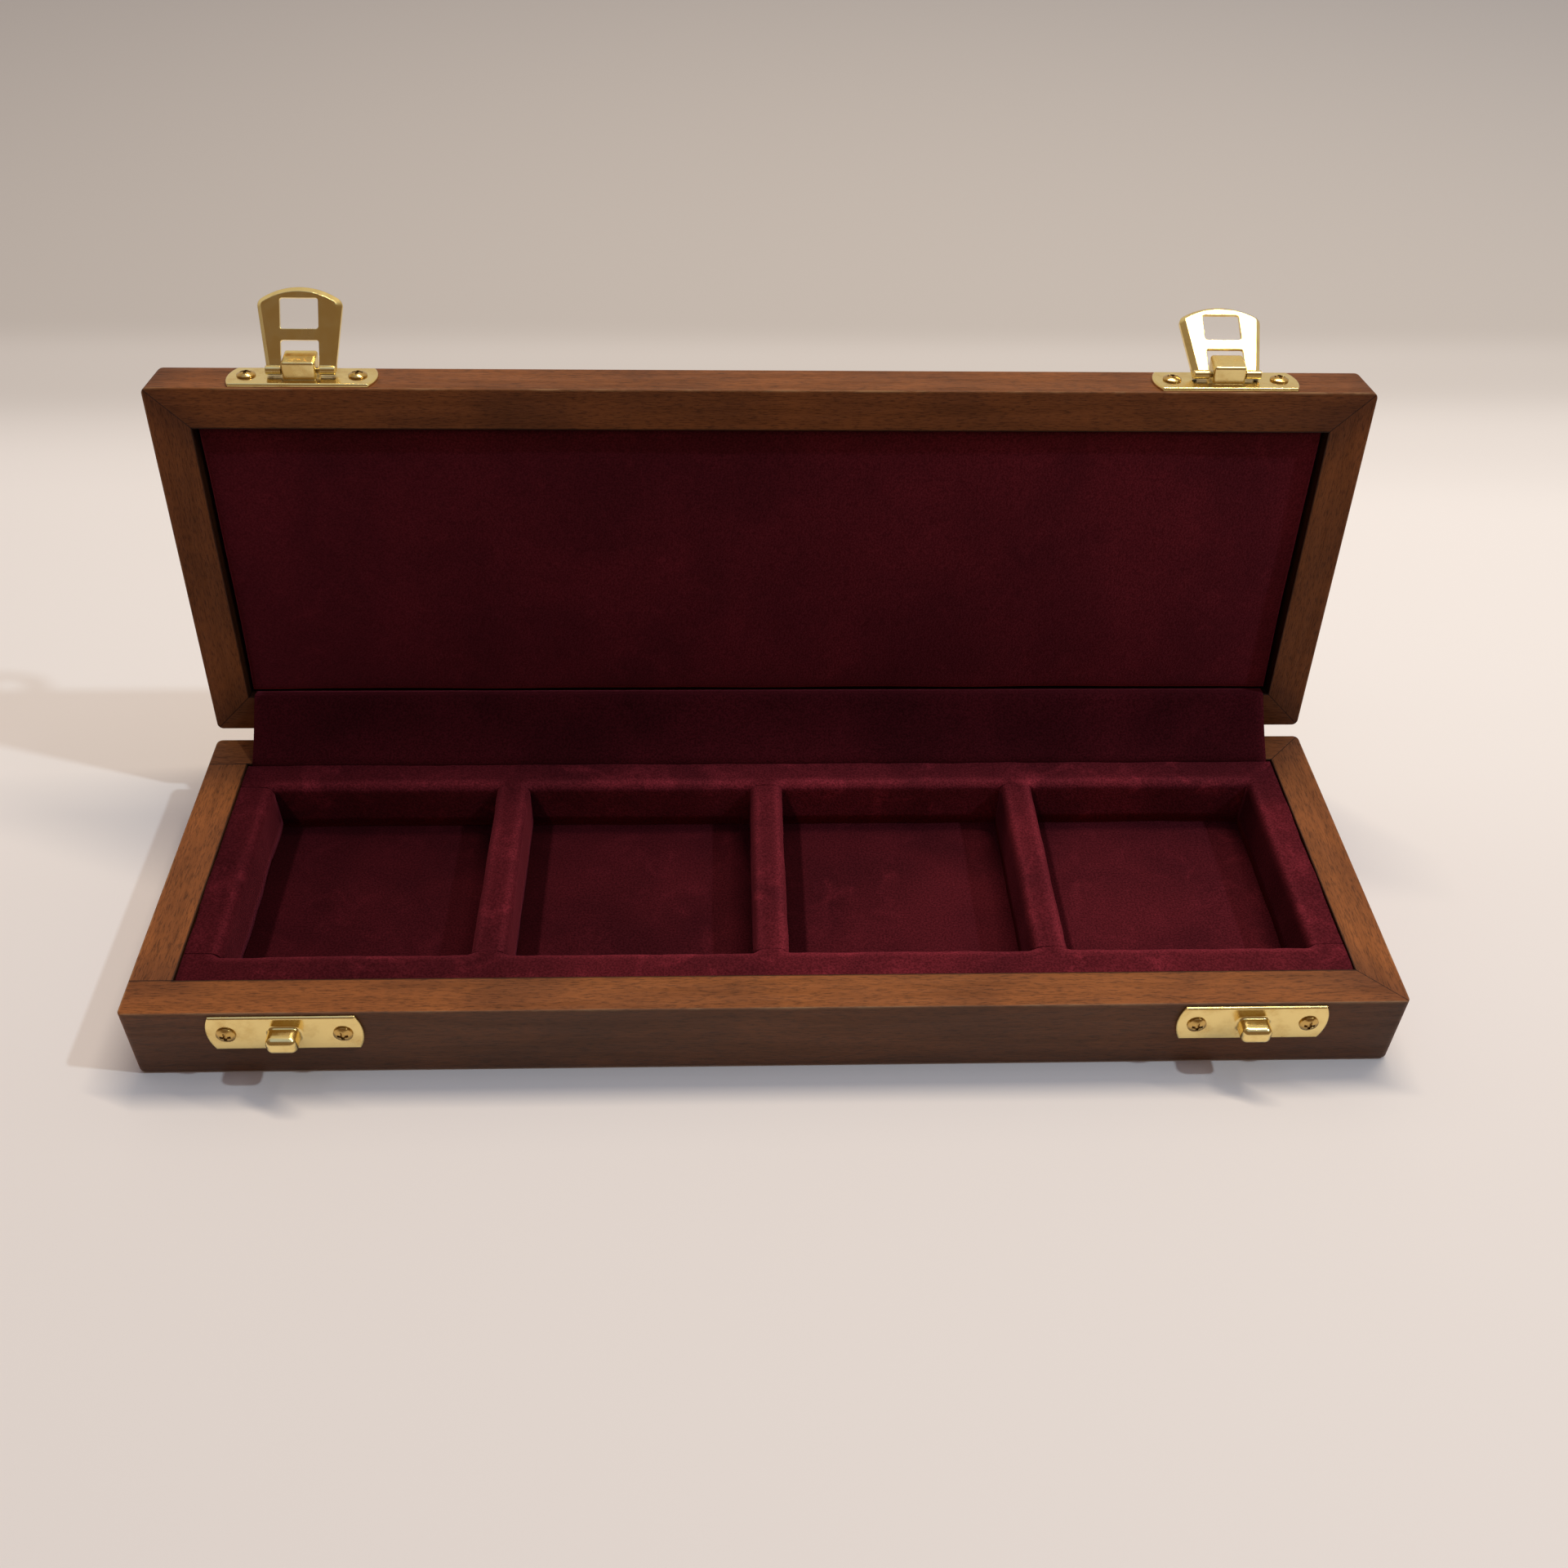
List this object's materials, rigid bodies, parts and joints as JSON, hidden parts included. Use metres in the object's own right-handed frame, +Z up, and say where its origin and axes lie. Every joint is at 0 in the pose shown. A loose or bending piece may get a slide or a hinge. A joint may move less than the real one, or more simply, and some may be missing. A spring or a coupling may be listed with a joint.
{
  "type": "watch box",
  "caption": "Long wooden watch box with an open hinged lid, square wells lined in dark red velvet, and brass hasps on the lid that swing down over catches on the front.",
  "frame": {"origin": "centre of the underside of the base", "axes": "+X from left to right along the box, +Y from the front with the catches to the back with the hinges, +Z up"},
  "size_m": [0.28, 0.1307, 0.1277],
  "materials": {
    "stained_wood": "satin varnish over a walnut stain",
    "panel_wood": "satin varnish over a walnut stain",
    "velvet": "short dark red pile",
    "brass": "polished"
  },
  "bodies": {
    "base": {"base_front_rail": "stained_wood", "base_back_rail": "stained_wood", "base_left_rail": "stained_wood", "base_right_rail": "stained_wood", "base_bottom_panel": "panel_wood", "compartment_floor": "velvet", "front_velvet_strip": "velvet", "back_velvet_strip": "velvet", "left_velvet_strip": "velvet", "right_velvet_strip": "velvet", "velvet_divider_1": "velvet", "velvet_divider_2": "velvet", "velvet_divider_3": "velvet", "hinge_cover_cloth": "velvet", "left_catch_plate": "brass", "right_catch_plate": "brass", "catch_screws": "brass", "left_hinge_base_leaf": "brass", "right_hinge_base_leaf": "brass", "left_hinge_pin": "brass", "right_hinge_pin": "brass", "hinge_base_screws": "brass"},
    "lid": {"lid_front_rail": "stained_wood", "lid_back_rail": "stained_wood", "lid_left_rail": "stained_wood", "lid_right_rail": "stained_wood", "lid_top_panel": "panel_wood", "lid_velvet_pad": "velvet", "left_latch_plate": "brass", "right_latch_plate": "brass", "latch_screws": "brass", "left_hinge_lid_leaf": "brass", "right_hinge_lid_leaf": "brass", "hinge_lid_screws": "brass", "left_latch_pin": "brass", "right_latch_pin": "brass"},
    "left_hasp": {"left_latch_hasp": "brass"},
    "right_hasp": {"right_latch_hasp": "brass"}
  },
  "joints": [
    {"name": "lid_hinge", "type": "hinge", "parent": "base", "child": "lid", "pos_m": [0, 0.047, 0.02015], "axis": [1, 0, 0], "range_deg": [0, 96.5], "deforming": ["hinge_cover_cloth"]},
    {"name": "left_hasp_pivot", "type": "hinge", "parent": "lid", "child": "left_hasp", "pos_m": [-0.1053, 0.06332, 0.1135], "axis": [1, 0, 0], "range_deg": [-23, 121]},
    {"name": "right_hasp_pivot", "type": "hinge", "parent": "lid", "child": "right_hasp", "pos_m": [0.1058, 0.06332, 0.1135], "axis": [1, 0, 0], "range_deg": [0, 144]}
  ]
}
